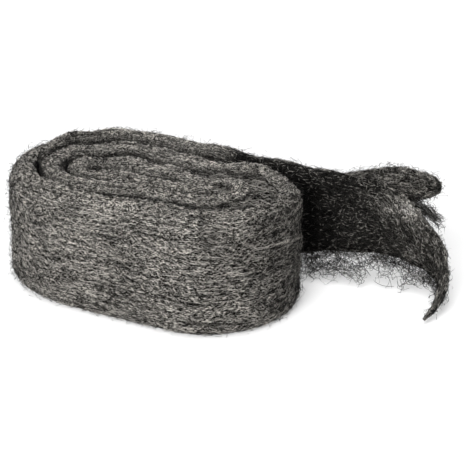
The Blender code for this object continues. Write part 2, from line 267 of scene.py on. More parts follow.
FUZZ = {**LOOPS, "Length": 0.005, "Points": 4, "Waviness": 0.0042, "Wave length": 0.005, "Looseness": 1.0}
FRINGE = {
    **LOOPS, "Length": 0.01, "Points": 9, "Thickness": 0.00028, "Waviness": 0.0035, "Wave length": 0.0045,
    "Looseness": 1.0,
}
FIBRE_PIECES = {  # surface, finish, kind, where on the surface, how many a square metre, seed, changes
    "wall_fibres_1": ("roll", "steel", LAID, "wall_coat", 7.5e5, 11, {}),
    "wall_fibres_2": ("roll", "steel", LAID, "wall_coat", 5e5, 21, {"Length": 0.006}),
    "rim_fibres": (
        "roll", "rim", LAID, "rim_coat", 1.5e6, 12,
        {"Length": 0.003, "Thickness": 0.0003, "Stray angle": 1.6},
    ),
    "foot_fibres": ("roll", "steel", LAID, "foot_coat", 4e5, 13, {}),
    "tail_fibres": (
        "roll", "tail", LAID, "tail_coat", 1.1e6, 14,
        {"Length": 0.003, "Thickness": 0.0003, "Stray angle": 1.5},
    ),
    "upper_lock_fibres": ("lock", "steel", LAID, "coat", 2e6, 15, {"Stray angle": 1.3}),
    "roll_fuzz": ("roll", "dark", FUZZ, "coat", 2.1e5, 16, {}),
    "upper_lock_fuzz": ("lock", "dark", FUZZ, "coat", 6e5, 17, {}),
    "tail_fringe": ("fringe", "dark", FRINGE, "coat", 1.5e6, 18, {}),
    "notch_fringe": ("notch", "dark", FRINGE, "coat", 1e6, 19, {"Stray angle": 1.6}),
    "filling": ("filling", "steel", LOOPS, "coat", 1.6e6, 20, {}),
    "low_filling": ("low_filling", "dark", FUZZ, "coat", 1.1e6, 24, {"Thickness": 0.0008}),
    "wall_strand": ("strand", "bright", LOOPS, "coat", 1.2e6, 22, {"Stray angle": 0.4}),
    "stray_lock": ("stray", "dark", FRINGE, "coat", 3e6, 23, {"Stray angle": 0.8}),
}

# The finishes, as greys at places between a streak's or fibre's darkest and lightest
TINT = (1.0, 0.955, 0.88)  # makes every grey slightly warm, as bare steel looks in daylight
STREAKS = ((0.15, 0.0010, 0.00028), (-0.4, 0.0008, 0.0003))  # slant, reach along and reach across
STREAK_DISTORTION = 0.8
STREAK_BUMP = 0.9
STREAK_BUMP_HEIGHT = 0.0006
BODY_GREYS = ((0.51, 0.002), (0.57, 0.09), (0.63, 1.0))
BODY_METALLIC, BODY_ROUGHNESS = 0.55, 0.5
FIBRE_METALLIC, FIBRE_ROUGHNESS = 0.75, 0.38
SPECULAR_LEVEL = 0.1
PATCH_REACH = 0.03
PATCH_SHADE = 0.75
PATCH_FROM, PATCH_TO = 0.35, 0.65  # the noise where the patches are darkest, and where they end
# The painted shade of thin creases along the ribbon
CREASE_LENGTH = 0.04
CREASE_WIDTH = 0.0016
CREASE_PAINTED_SHADE = 0.3
CREASE_FROM, CREASE_TO = 0.3, 0.46
FIBRE_FINISHES = {  # the greys, and the power of the wool's shade, mostly painted, that the fibres take over
    "steel": (((0.0, 0.002), (0.58, 0.01), (0.66, 0.7), (0.70, 1.0)), 0.6),
    "rim": (((0.0, 0.002), (0.55, 0.01), (0.6, 0.9), (0.62, 1.0)), 0.5),
    "tail": (((0.0, 0.001), (0.76, 0.01), (0.84, 0.8), (0.88, 1.0)), 0.2),
    # dark fibres for the fuzz, fringes, stray lock and low filling, partly painted shade of loose fibres that
    # hang unlit
    "dark": (((0.0, 0.005), (0.6, 0.03), (0.9, 0.12), (1.0, 0.4)), 0.6),
    "bright": (((0.0, 0.05), (0.3, 0.4), (0.6, 0.8), (1.0, 1.0)), 0.6),
}

# The studio
FLOOR_REACH = 20.0
FLOOR_WHITE = 0.8
FLOOR_ROUGHNESS = 0.9
FLOOR_GLOW = 0.25  # how much of the floor's white shows whatever falls on it, in the camera's eyes alone
FLOOR_NEAR, FLOOR_FAR = 0.25, 1.1  # from where to where it turns all white
CAMERA_FAR = 100.0
WORLD_LIGHT = 0.3
LIGHTS = (
    ("key", (0.05, -1.35, 0.95), 1.2, 28.0),
    ("top", (0.0, -0.1, 1.4), 0.8, 9.0),
)


def smooth_step(share):
    """0 to 1 with level ends, for a number or an array."""
    share = np.clip(share, 0.0, 1.0)
    return share * share * (3 - 2 * share)


def smooth_between(value, low, high):
    """0 up to the low value and 1 from the high one."""
    return smooth_step((value - low) / (high - low))


def hump(place, middle, reach):
    """1 at the middle, falling to 0 at the reach."""
    return 1 - smooth_step(abs(place - middle) / reach)


def slit_outline(angle):
    """Points and outward normals of the slit's outline, a flat oval that swells into the eye on the left."""
    left = (1 - np.cos(angle)) / 2
    half_width = SLIT_HALF_WIDTH + EYE_BULGE * left
    swelling = EYE_BULGE * np.sin(angle) / 2
    points = np.stack([SLIT_SHIFT + SLIT_HALF_LENGTH * np.cos(angle), half_width * np.sin(angle)], axis=-1)
    along_x = -SLIT_HALF_LENGTH * np.sin(angle)
    along_y = half_width * np.cos(angle) + swelling * np.sin(angle)
    normals = np.stack([along_y, -along_x], axis=-1)
    return points, normals / np.linalg.norm(normals, axis=-1, keepdims=True)


def slit_at(places):
    """Slit points and normals at places along the winding, evenly spaced by length part way out."""
    angles = np.linspace(0, -2 * math.pi, SLIT_POINTS)
    points, normals = slit_outline(angles)
    steps = np.diff(points + MID_WINDING * normals, axis=0)
    lengths = np.concatenate([[0.0], np.cumsum(np.linalg.norm(steps, axis=1))])
    return slit_outline(np.interp(places % 1, lengths / lengths[-1], angles))


def inner_offset(place):
    """How far the ribbon's inner face lies from the slit."""
    layers = 0.0
    for turn in range(1, WHOLE_TURNS + 2):
        layers += smooth_between(place - turn, CLIMB_START, CLIMB_END)
    hollows = LEFT_HOLLOW * hump(place, WHOLE_TURNS + LEFT_END, LEFT_HOLLOW_REACH)
    for right_end in (WHOLE_TURNS, WHOLE_TURNS + 1):
        hollows += RIGHT_HOLLOW * hump(place, right_end + RIGHT_HOLLOW_MIDDLE, RIGHT_HOLLOW_REACH)
    sides = (1 - np.cos(4 * math.pi * place)) / 2
    belly = BELLY * sides * place / (WHOLE_TURNS + LEAVING_SHARE)
    return TURN_GAP / 2 + layers * (RIBBON_THICKNESS + TURN_GAP) + hollows + belly


def padding_at(place):
    """How much thicker the innermost turn is, on its inner side, which closes the slit but for the eye."""
    padding = SLIT_HALF_WIDTH + EYE_BULGE / 2 - SLIT_CLEARANCE
    return padding * (hump(place, FRONT_MIDDLE, PADDING_REACH) + hump(place, BACK_MIDDLE, PADDING_REACH))


def thickness_at(place):
    swing = 0.5 + 0.5 * np.sin(2 * math.pi * SQUEEZES_PER_TURN * place)
    return RIBBON_THICKNESS * (1 - SQUEEZE * swing)


def crest_at(place):
    """Height of the ribbon's upper edge above the floor."""
    leaving = WHOLE_TURNS + LEAVING_SHARE
    drop = INNER_DROP * (1 - place / leaving)
    back = (1 - np.cos(2 * math.pi * (place - FRONT_MIDDLE))) / 2
    wave = CREST_WAVE * np.sin(2 * math.pi * CREST_WAVES_PER_TURN * place)
    return RIBBON_WIDTH - CREST_WAVE - drop - BACK_DIP * back + wave


def outer_rim_at(place):
    """How far down the rim's outer side is rounded: further once no turn lies outside it."""
    open_from = WHOLE_TURNS + LEAVING_SHARE - 1
    opened = smooth_step((place - open_from) / RIM_CHANGE)
    return INNER_RIM_HEIGHT + (RIM_HEIGHT - INNER_RIM_HEIGHT) * opened


def roundness(steps_from_end):
    """How much of its thickness a section keeps near a free end, so that the end is round, not square."""
    back = 1 - (steps_from_end + 0.5) / END_STEPS
    return math.sqrt(1 - back * back) if back > 0 else 1.0


def trunk_end(leaving):
    return Vector((leaving.x + TRUNK_LENGTH, leaving.y + TRUNK_SWING, (TRUNK_TOP + TRUNK_RISE) / 2))


def trunk_edges(leaving, share):
    """Heights of the trunk's lower and upper edges."""
    crest = 2 * leaving.z
    return TRUNK_RISE * smooth_step(share), crest + (TRUNK_TOP - crest) * share


def tail_path(leaving, heading):
    """The middle line of the trunk, from where it leaves the roll, and of the lower lock, down to its tip."""
    end = trunk_end(leaving)
    tip = Vector((end.x + LOWER_LOCK_REACH, end.y - LOWER_LOCK_CURL, LOCK_TIP))
    level = Vector((TRUNK_LENGTH / 3, 0, 0))
    trunk = interpolate_bezier(leaving, leaving + heading * level.length, end - level, end, TRUNK_STEPS + 1)
    for step, middle in enumerate(trunk):
        middle.z = sum(trunk_edges(leaving, step / TRUNK_STEPS)) / 2
    bow_y = end.y + LOWER_LOCK_BOW_DEPTH * LOWER_LOCK_CURL
    bow = Vector((tip.x + LOWER_LOCK_OVERHANG, bow_y, LOWER_LOCK_BOW_HEIGHT * end.z))
    lock = interpolate_bezier(end, end + Vector((LOWER_LOCK_LEVEL_START, 0, 0)), bow, tip, LOCK_STEPS + 1)
    return trunk + lock[1:]


def across_path(path, step):
    """Sideways and upright directions at a point of a path: square to it, with sideways level."""
    along = (path[min(step + 1, len(path) - 1)] - path[max(step - 1, 0)]).normalized()
    sideways = Vector((-along.y, along.x, 0)).normalized()
    return sideways, along.cross(sideways)


def ribbon_stations():
    """The ribbon's sections from its inner end to the lower lock's tip, one row of numbers each.

    A row holds the section's middle, its sideways and upright directions, its half height and half thickness,
    the share of its foot that is flat, and how far up its foot and down its inner and outer rims are rounded.
    """
    count = round((WHOLE_TURNS + LEAVING_SHARE - WINDING_START) * STATIONS_PER_TURN)
    places = WINDING_START + np.arange(count + 1) / STATIONS_PER_TURN
    points, normals = slit_at(places)
    rows = []
    for step, place in enumerate(places):
        padding = padding_at(place)
        half_thickness = (thickness_at(place) + padding) / 2
        half_height = crest_at(place) / 2
        outward = Vector(normals[step]).to_3d()
        middle = Vector(points[step]).to_3d() + outward * (inner_offset(place) - padding + half_thickness)
        middle.z = half_height
        flare = LEFT_FLARE * hump(place, WHOLE_TURNS + LEFT_END, LEFT_FLARE_REACH) / (2 * half_height)
        upright = Vector((0, 0, 1)) - outward * flare
        thick = half_thickness * roundness(step)
        edges = (FOOT_FLAT, FOOT_HEIGHT, INNER_RIM_HEIGHT, outer_rim_at(place))
        rows.append([*middle, *outward, *upright, half_height, thick, *edges])
    leaving = Vector(rows[-1][:3])
    heading = (leaving - Vector(rows[-2][:3])).normalized()
    path = tail_path(leaving, heading)
    for step in range(1, len(path)):
        if step <= TRUNK_STEPS:
            share = step / TRUNK_STEPS
            low, high = trunk_edges(leaving, share)
            half_height = (high - low) / 2
            thick = half_thickness + (TRUNK_END_THICKNESS / 2 - half_thickness) * share
            foot_height = FOOT_HEIGHT + (RIM_HEIGHT - FOOT_HEIGHT) * share
            inner_rim = INNER_RIM_HEIGHT + (RIM_HEIGHT - INNER_RIM_HEIGHT) * share
            edges = (FOOT_FLAT * (1 - share), foot_height, inner_rim, RIM_HEIGHT)
        else:
            taper = ((step - TRUNK_STEPS) / LOCK_STEPS) ** LOCK_FULLNESS
            trunk_half_height = (TRUNK_TOP - TRUNK_RISE) / 2
            half_height = trunk_half_height + (LOCK_TIP / 2 - trunk_half_height) * taper
            thick = TRUNK_END_THICKNESS / 2 + (LOCK_TIP / 2 - TRUNK_END_THICKNESS / 2) * taper
            edges = (0.0, RIM_HEIGHT, RIM_HEIGHT, RIM_HEIGHT)
        sideways, upright = across_path(path, step)
        rows.append([*path[step], *sideways, *upright, half_height, thick, *edges])
    return np.array(rows), leaving


def upper_lock_stations(leaving):
    """The upper lock's sections, in rows like the ribbon's."""
    end = trunk_end(leaving)
    root = Vector((end.x - UPPER_LOCK_ROOT, end.y, UPPER_LOCK_HEIGHT))
    tip = root + Vector((UPPER_LOCK_REACH, UPPER_LOCK_SWING, UPPER_LOCK_RISE))
    first = root + Vector((UPPER_LOCK_LEVEL_START, 0, UPPER_LOCK_RISE * UPPER_LOCK_EARLY_RISE))
    second = tip + Vector((-UPPER_LOCK_LEVEL_END, 0, UPPER_LOCK_RISE * UPPER_LOCK_LATE_RISE))
    path = interpolate_bezier(root, first, second, tip, LOCK_STEPS + 1)
    rows = []
    for step in range(LOCK_STEPS + 1):
        sideways, upright = across_path(path, step)
        kept = (1 - (step / (LOCK_STEPS + UPPER_LOCK_END)) ** UPPER_LOCK_BLUNTNESS) ** 0.5
        half_height = kept * UPPER_LOCK_WIDTH / 2
        edges = (0.0, half_height, half_height, half_height)
        rows.append([*path[step], *sideways, *upright, half_height, kept * UPPER_LOCK_THICKNESS / 2, *edges])
    return np.array(rows)


def finer(rows, times):
    """The rows with others between them, on smooth curves through the given ones."""
    at = np.arange((len(rows) - 1) * times + 1) / times
    low = np.minimum(at.astype(int), len(rows) - 2)
    share = (at - low)[:, None]
    before, here, after, beyond = (rows[np.clip(low + shift, 0, len(rows) - 1)] for shift in (-1, 0, 1, 2))
    return 0.5 * (
        2 * here
        + (after - before) * share
        + (2 * before - 5 * here + 4 * after - beyond) * share**2
        + (3 * here - before - 3 * after + beyond) * share**3
    )


def profile_side(half_height, foot_flat, foot_height, rim_height):
    """Across (0 to 1) and height of the points up one side of a section, from its foot to its crest."""
    foot_height, rim_height = (min(height, CORNER_MOST * half_height) for height in (foot_height, rim_height))
    corner = np.linspace(0, math.pi / 2, CORNER_POINTS)
    foot_across = foot_flat + (1 - foot_flat) * np.sin(corner)
    foot = np.stack([foot_across, -half_height + foot_height * (1 - np.cos(corner))], axis=1)
    rim = np.stack([np.cos(corner), half_height - rim_height * (1 - np.sin(corner))], axis=1)
    return np.concatenate([foot, rim])


def profile_points(row, count):
    """Across and height of evenly spaced points round a section, and how far round it each one is."""
    half_height, half_thickness, foot_flat, foot_height, inner_rim, outer_rim = row[HALF_HEIGHT:]
    outer = profile_side(half_height, foot_flat, foot_height, outer_rim)
    inner = profile_side(half_height, foot_flat, foot_height, inner_rim)
    outline = np.concatenate([outer, inner[-2::-1] * (-1, 1), outer[:1]])
    steps = np.linalg.norm(np.diff(outline * (half_thickness, 1), axis=0), axis=1)
    lengths = np.concatenate([[0.0], np.cumsum(steps)])
    wanted = np.arange(count) / count * lengths[-1]
    return np.interp(wanted, lengths, outline[:, 0]), np.interp(wanted, lengths, outline[:, 1]), wanted


def lumped(places, sideways, upright, raised):
    """The points of a section, moved by the solid's own lumps."""
    lumps = LUMP_HEIGHT * np.array([noise.noise(Vector(place) / LUMP_REACH) for place in places])
    return places + np.outer(lumps * raised, sideways) + np.outer(lumps * raised**4, upright)


def piece_of(name, mesh):
    piece = bpy.data.objects.new(name, mesh)
    bpy.context.scene.collection.objects.link(piece)
    return piece


def mesh_of(name, places, faces, winding, on_ribbon):
    """A mesh whose points know the direction of the winding and their place on the unrolled ribbon."""
    mesh = bpy.data.meshes.new(name)
    mesh.from_pydata(places.reshape(-1, 3).tolist(), [], faces)
    direction = mesh.attributes.new("winding", "FLOAT_VECTOR", "POINT")
    direction.data.foreach_set("vector", winding.astype(np.float32).ravel())
    flat = mesh.attributes.new("on_ribbon", "FLOAT2", "POINT")
    flat.data.foreach_set("vector", on_ribbon.astype(np.float32).ravel())
    return mesh


def heading_along(places):
    heading = np.gradient(places, axis=0)
    return heading / np.maximum(np.linalg.norm(heading, axis=-1, keepdims=True), 1e-9)


def lengths_along(rows):
    """How far along the ribbon each row's middle lies."""
    steps = np.linalg.norm(np.diff(rows[:, MIDDLE], axis=0), axis=1)
    return np.concatenate([[0.0], np.cumsum(steps)])


def wool_mesh(name, rows, points_round):
    """A closed tube of wool through the rows' sections."""
    places = np.zeros((len(rows), points_round, 3))
    on_ribbon = np.zeros((len(rows), points_round, 2))
    depth, side = np.zeros((2, len(rows), points_round))
    on_ribbon[:, :, 0] = lengths_along(rows)[:, None]
    for station, row in enumerate(rows):
        across, height, on_ribbon[station, :, 1] = profile_points(row, points_round)
        sideways, upright, half_height = row[SIDEWAYS], row[UPRIGHT], row[HALF_HEIGHT]
        section = row[MIDDLE] + np.outer(across * row[HALF_THICKNESS], sideways) + np.outer(height, upright)
        places[station] = lumped(section, sideways, upright, 0.5 + 0.5 * height / half_height)
        depth[station], side[station] = half_height - height, np.sign(across)
    index = np.arange(len(rows) * points_round).reshape(len(rows), points_round)
    after = np.roll(index, -1, axis=1)
    quads = np.stack([index[:-1], after[:-1], after[1:], index[1:]], axis=-1).reshape(-1, 4)
    faces = quads.tolist() + [index[0][::-1].tolist(), index[-1].tolist()]
    mesh = mesh_of(name, places, faces, heading_along(places), on_ribbon)
    store(mesh, "depth", depth.ravel())
    store(mesh, "side", side.ravel())
    return mesh


def sheet_mesh(name, places):
    """A sheet through rows of points, in which loose fibres hang. It is never shown itself."""
    count, down = places.shape[:2]
    index = np.arange(count * down).reshape(count, down)
    quads = np.stack([index[:-1, :-1], index[1:, :-1], index[1:, 1:], index[:-1, 1:]], axis=-1).reshape(-1, 4)
    return mesh_of(name, places, quads.tolist(), heading_along(places), places[:, :, :2])


def web_mesh(name, upper, lower):
    """A sheet between two lines, with fibres thinning out from the upper one, in patches."""
    shares = np.linspace(0, 1, WEB_ROWS)[None, :, None]
    places = upper[:, None, :] * (1 - shares) + lower[:, None, :] * shares
    mesh = sheet_mesh(name, places)
    patches = np.array([noise.noise(Vector(place) * WEB_PATCHES) for place in places.reshape(-1, 3)])
    patches = np.clip(WEB_PATCH_MIDDLE + WEB_PATCH_SWING * patches, WEB_PATCH_LEAST, WEB_PATCH_MOST)
    thinning = np.tile((1 - shares.ravel()) ** WEB_THINNING, len(upper))
    store(mesh, "coat", thinning * patches)
    store(mesh, "shade", np.ones(len(patches)))
    return mesh


def points_of(mesh):
    places = np.zeros(len(mesh.vertices) * 3, np.float32)
    mesh.vertices.foreach_get("co", places)
    return places.reshape(-1, 3).astype(float)


def place_points(mesh, places):
    mesh.vertices.foreach_set("co", places.astype(np.float32).ravel())
    mesh.update()


def normals_of(mesh):
    normals = np.zeros(len(mesh.vertices) * 3, np.float32)
    mesh.vertex_normals.foreach_get("vector", normals)
    return normals.reshape(-1, 3).astype(float)


def store(mesh, name, values):
    attribute = mesh.attributes.new(name, "FLOAT", "POINT")
    attribute.data.foreach_set("value", np.asarray(values, np.float32))


def ridges(on_ribbon, height, along, across, layer):
    """Uneven heights in ridges that run along the ribbon."""
    return height * np.array([noise.noise(Vector((u / along, v / across, layer))) for u, v in on_ribbon])


def flat_places_of(mesh):
    flat = np.zeros(len(mesh.vertices) * 2, np.float32)
    mesh.attributes["on_ribbon"].data.foreach_get("vector", flat)
    return flat.reshape(-1, 2).astype(float)


def values_of(mesh, name):
    values = np.zeros(len(mesh.vertices), np.float32)
    mesh.attributes[name].data.foreach_get("value", values)
    return values.astype(float)


def make_uneven(mesh):
    """Moves the wool's surface in and out, in bundles and strands, and in deeper folds on its rims."""
    places, normals = points_of(mesh), normals_of(mesh)
    on_ribbon = flat_places_of(mesh)
    heights = sum(ridges(on_ribbon, *kind) for kind in (BUNDLES, STRANDS)) - SUNK
    heights += ridges(on_ribbon, *RIM_FOLDS) * smooth_step(normals[:, 2] / RIM_FOLDS_FULL)
    places += normals * heights[:, None]
    places[:, 2] = np.maximum(places[:, 2], 0.0)
    place_points(mesh, places)


def search_tree_of(mesh):
    return BVHTree.FromPolygons(points_of(mesh).tolist(), [list(face.vertices) for face in mesh.polygons])


def level_directions():
    turns = np.arange(LEVEL_DIRECTIONS) * 2 * math.pi / LEVEL_DIRECTIONS
    return [Vector((math.cos(turn), math.sin(turn), 0)) for turn in turns]


def exposure_of(mesh):
    """For each point, the share of directions in which nothing close by covers it."""
    places, normals = points_of(mesh), normals_of(mesh)
    tree = search_tree_of(mesh)
    tilts = [Vector((0, 0, 0)), Vector((0, 0, EXPOSURE_TILT))]
    tilts += [direction * EXPOSURE_TILT for direction in level_directions()]
    seen = np.zeros(len(places))
    for index, (place, normal) in enumerate(zip(places, normals)):
        start = Vector(place + normal * EXPOSURE_START)
        for tilt in tilts:
            direction = (Vector(normal) + tilt).normalized()
            seen[index] += tree.ray_cast(start, direction, EXPOSURE_REACH)[0] is None
    return seen / len(tilts)


def near(places, middle, reach):
    """1 at the middle, falling to 0 round it."""
    across = (places[:, : len(middle)] - np.array(middle)) / np.array(reach)
    return np.exp(-(across**2).sum(axis=1))


def put(tree, kind, values=None, **settings):
    """Adds a node. A value is a socket to link from, or a constant, for the input of that name or number."""
    made = tree.nodes.new(kind)
    for name, setting in settings.items():
        setattr(made, name, setting)
    for place, value in (values or {}).items():
        if isinstance(value, bpy.types.NodeSocket):
            tree.links.new(value, made.inputs[place])
        else:
            made.inputs[place].default_value = value
    return made


def first_of(tree, kind, values=None, **settings):
    """Adds a node and gives its first output."""
    return put(tree, kind, values, **settings).outputs[0]


def number(tree, operation, *values):
    return first_of(tree, "ShaderNodeMath", dict(enumerate(values)), operation=operation)


def product(tree, first, second):
    return number(tree, "MULTIPLY", first, second)


def vector(tree, operation, *values):
    return first_of(tree, "ShaderNodeVectorMath", dict(enumerate(values)), operation=operation)


def scaled(tree, given, by):
    return first_of(tree, "ShaderNodeVectorMath", {0: given, "Scale": by}, operation="SCALE")


def joined(tree, *values):
    return first_of(tree, "ShaderNodeCombineXYZ", dict(enumerate(values)))


def random_number(tree, low, high, seed, shift):
    seed = first_of(tree, "FunctionNodeIntegerMath", {0: seed, 1: shift}, operation="ADD")
    return put(tree, "FunctionNodeRandomValue", {2: low, 3: high, "Seed": seed}, data_type="FLOAT").outputs[1]


def named(tree, name, data_type="FLOAT"):
    return first_of(tree, "GeometryNodeInputNamedAttribute", {"Name": name}, data_type=data_type)


def fibre_tree():
    """Geometry Nodes that comb wavy steel fibres over a surface, mostly along its winding direction.

    Looseness 0 lays every fibre on the surface. Looseness 1 leaves it where its own waves take it.
    """
    tree = bpy.data.node_groups.new("Steel fibres", "GeometryNodeTree")
    for name, kind in FIBRE_INPUTS.items():
        tree.interface.new_socket(name, in_out="INPUT", socket_type="NodeSocket" + kind)
    tree.interface.new_socket("Fibres", in_out="OUTPUT", socket_type="NodeSocketGeometry")
    given = tree.nodes.new("NodeGroupInput").outputs
    wool, seed = given["Wool"], given["Seed"]

    density = product(tree, named(tree, given["Where"]), given["Fibres per square metre"])
    scattering = {"Mesh": wool, "Density": density, "Seed": seed}
    scatter = put(tree, "GeometryNodeDistributePointsOnFaces", scattering)
    outward = scatter.outputs["Normal"]
    swing = random_number(tree, -1.0, 1.0, seed, 1)
    swing = product(tree, swing, number(tree, "ABSOLUTE", swing))
    turn = {
        "Vector": named(tree, "winding", "FLOAT_VECTOR"),
        "Axis": outward,
        "Angle": product(tree, swing, given["Stray angle"]),
    }
    heading = first_of(tree, "ShaderNodeVectorRotate", turn)
    turned = first_of(
        tree, "FunctionNodeAxesToRotation", {0: outward, 1: heading}, primary_axis="Z", secondary_axis="X"
    )
    length = random_number(tree, LENGTH_LEAST, LENGTH_MOST, seed, 2)
    length = product(tree, given["Length"], length)
    ends = {"Start": (-0.5, 0.0, 0.0), "End": (0.5, 0.0, 0.0)}
    line = first_of(tree, "GeometryNodeCurvePrimitiveLine", ends)
    line = first_of(tree, "GeometryNodeResampleCurve", {"Curve": line, "Count": given["Points"]})
    laying = {
        "Points": scatter.outputs["Points"],
        "Instance": line,
        "Rotation": turned,
        "Scale": joined(tree, length, 1.0, 1.0),
    }
    lines = first_of(tree, "GeometryNodeInstanceOnPoints", laying)
    tone = {"Geometry": lines, "Name": "tone", "Value": random_number(tree, 0.0, 1.0, seed, 3)}
    lines = first_of(tree, "GeometryNodeStoreNamedAttribute", tone, domain="INSTANCE")
    lines = first_of(tree, "GeometryNodeRealizeInstances", {0: lines})

    tone = named(tree, "tone")
    here = first_of(tree, "GeometryNodeInputPosition")
    own_waves = joined(tree, *(product(tree, tone, times) for times in WAVES_FROM_TONE))
    waves = scaled(tree, here, number(tree, "DIVIDE", 1.0, given["Wave length"]))
    waves = {"Vector": vector(tree, "ADD", waves, own_waves), "Scale": 1.0, "Detail": 1.0}
    waves = put(tree, "ShaderNodeTexNoise", waves).outputs[1]
    waves = vector(tree, "SUBTRACT", waves, (0.5, 0.5, 0.5))
    sway = scaled(tree, waves, product(tree, given["Waviness"], WAVE_HEIGHT))
    swayed = vector(tree, "ADD", here, sway)

    nearest = put(tree, "GeometryNodeProximity", {0: wool, "Sample Position": swayed}, target_element="FACES")
    normal = first_of(tree, "GeometryNodeInputNormal")
    faces_there = {"Mesh": wool, "Value": normal, "Sample Position": swayed}
    outward = first_of(tree, "GeometryNodeSampleNearestSurface", faces_there, data_type="FLOAT_VECTOR")
    share = put(tree, "GeometryNodeSplineParameter").outputs["Factor"]
    arch = product(tree, share, number(tree, "SUBTRACT", 1.0, share))
    arch = product(tree, arch, 4.0)
    lift = number(tree, "FRACT", product(tree, tone, LIFT_FROM_TONE))
    lift = number(tree, "POWER", lift, LIFT_POWER)
    height = number(tree, "ADD", product(tree, arch, lift), LEAST_LIFT)
    height = product(tree, height, given["Lift"])
    laid = vector(tree, "ADD", nearest.outputs["Position"], scaled(tree, outward, height))
    placing = {0: given["Looseness"], 4: laid, 5: swayed}
    placed = put(tree, "ShaderNodeMix", placing, data_type="VECTOR").outputs[1]
    apart = put(tree, "ShaderNodeSeparateXYZ", {0: placed}).outputs
    placed = joined(tree, apart[0], apart[1], number(tree, "MAXIMUM", apart[2], given["Thickness"]))
    lines = first_of(tree, "GeometryNodeSetPosition", {"Geometry": lines, "Position": placed})

    fineness = number(tree, "FRACT", product(tree, tone, FINENESS_FROM_TONE))
    fineness = number(tree, "ADD", FINENESS_LEAST, product(tree, fineness, FINENESS_RANGE))
    taper = number(tree, "POWER", number(tree, "MAXIMUM", arch, 0.0), TIP_TAPER)
    radius = product(tree, given["Thickness"], product(tree, taper, fineness))
    ring = first_of(tree, "GeometryNodeCurvePrimitiveCircle", {"Resolution": 3, "Radius": 1.0})
    sweep = {"Curve": lines, "Profile Curve": ring, "Scale": radius}
    fibres = first_of(tree, "GeometryNodeCurveToMesh", sweep)
    fibres = first_of(tree, "GeometryNodeMergeByDistance", {"Geometry": fibres, "Distance": MERGING_DISTANCE})
    fibres = first_of(tree, "GeometryNodeSetShadeSmooth", {"Geometry": fibres})
    fibres = first_of(tree, "GeometryNodeRealizeInstances", {0: fibres})
    fibres = first_of(tree, "GeometryNodeSetMaterial", {"Geometry": fibres, "Material": given["Steel"]})
    tree.links.new(fibres, tree.nodes.new("NodeGroupOutput").inputs[0])
    return tree


def fibres_on(name, surface, tree, inputs):
    """A piece of fibres over a surface, as a plain mesh."""
    carrier = piece_of(name + "_carrier", surface)
    modifier = carrier.modifiers.new("Fibres", "NODES")
    modifier.node_group = tree
    for item in tree.interface.items_tree:
        if item.name in inputs:
            modifier[item.identifier] = inputs[item.name]
    bpy.context.view_layer.update()
    mesh = bpy.data.meshes.new_from_object(carrier.evaluated_get(bpy.context.evaluated_depsgraph_get()))
    bpy.data.objects.remove(carrier)
    mesh.name = name
    return piece_of(name, mesh)


def principled(name, metallic, roughness):
    material = bpy.data.materials.new(name)
    material.use_nodes = True
    shader = material.node_tree.nodes["Principled BSDF"]
    shader.inputs["Specular IOR Level"].default_value = SPECULAR_LEVEL
    shader.inputs["Metallic"].default_value = metallic
    shader.inputs["Roughness"].default_value = roughness
    return material, material.node_tree, shader.inputs


def grey(level):
    return (*(level * share for share in TINT), 1.0)


def ramp(tree, factor, stops):
    """Greys between the stops, which are pairs of a place and a level."""
    made = put(tree, "ShaderNodeValToRGB", {0: factor})
    elements = made.color_ramp.elements
    while len(elements) < len(stops):
        elements.new(0.5)
    for element, (place, level) in zip(elements, stops):
        element.position = place
        element.color = grey(level)
    return made.outputs[0]


def patches_group():
    """Broad darker and lighter patches, where the wool is looser or denser, and painted shade in thin
    creases.
    """
    group = bpy.data.node_groups.new("Wool patches", "ShaderNodeTree")
    group.interface.new_socket("Reach", in_out="INPUT", socket_type="NodeSocketFloat")
    group.interface.new_socket("Darkest", in_out="INPUT", socket_type="NodeSocketFloat")
    group.interface.new_socket("Shade", in_out="OUTPUT", socket_type="NodeSocketFloat")
    given = group.nodes.new("NodeGroupInput").outputs
    place = put(group, "ShaderNodeTexCoord").outputs["Object"]
    place = scaled(group, place, number(group, "DIVIDE", 1.0, given["Reach"]))
    patches = first_of(group, "ShaderNodeTexNoise", {"Vector": place, "Scale": 1.0, "Detail": 2.0})
    shade = first_of(
        group, "ShaderNodeMapRange", {0: patches, 1: PATCH_FROM, 2: PATCH_TO, 3: given["Darkest"], 4: 1.0}
    )
    # painted shade of thin creases that run along the ribbon
    flat = put(group, "ShaderNodeAttribute", attribute_name="on_ribbon").outputs["Vector"]
    flat = vector(group, "DIVIDE", flat, (CREASE_LENGTH, CREASE_WIDTH, 1.0))
    creases = first_of(group, "ShaderNodeTexNoise", {"Vector": flat, "Scale": 1.0, "Detail": 1.0})
    creases = first_of(
        group, "ShaderNodeMapRange", {0: creases, 1: CREASE_FROM, 2: CREASE_TO, 3: CREASE_PAINTED_SHADE, 4: 1.0}
    )
    shade = product(group, shade, creases)
    group.links.new(shade, group.nodes.new("NodeGroupOutput").inputs[0])
    return group


def patchy(tree, colour, group, power):
    """The colour, darkened by the patches and by a power of the shade, mostly painted, that the wool's points
    carry.
    """
    patches = put(tree, "ShaderNodeGroup", node_tree=group)
    patches.inputs["Reach"].default_value = PATCH_REACH
    patches.inputs["Darkest"].default_value = PATCH_SHADE
    carried = put(tree, "ShaderNodeAttribute", attribute_name="shade").outputs["Fac"]
    shade = product(tree, patches.outputs["Shade"], number(tree, "POWER", carried, power))
    return put(
        tree, "ShaderNodeMix", {0: 1.0, 6: colour, 7: shade}, data_type="RGBA", blend_type="MULTIPLY"
    ).outputs[2]


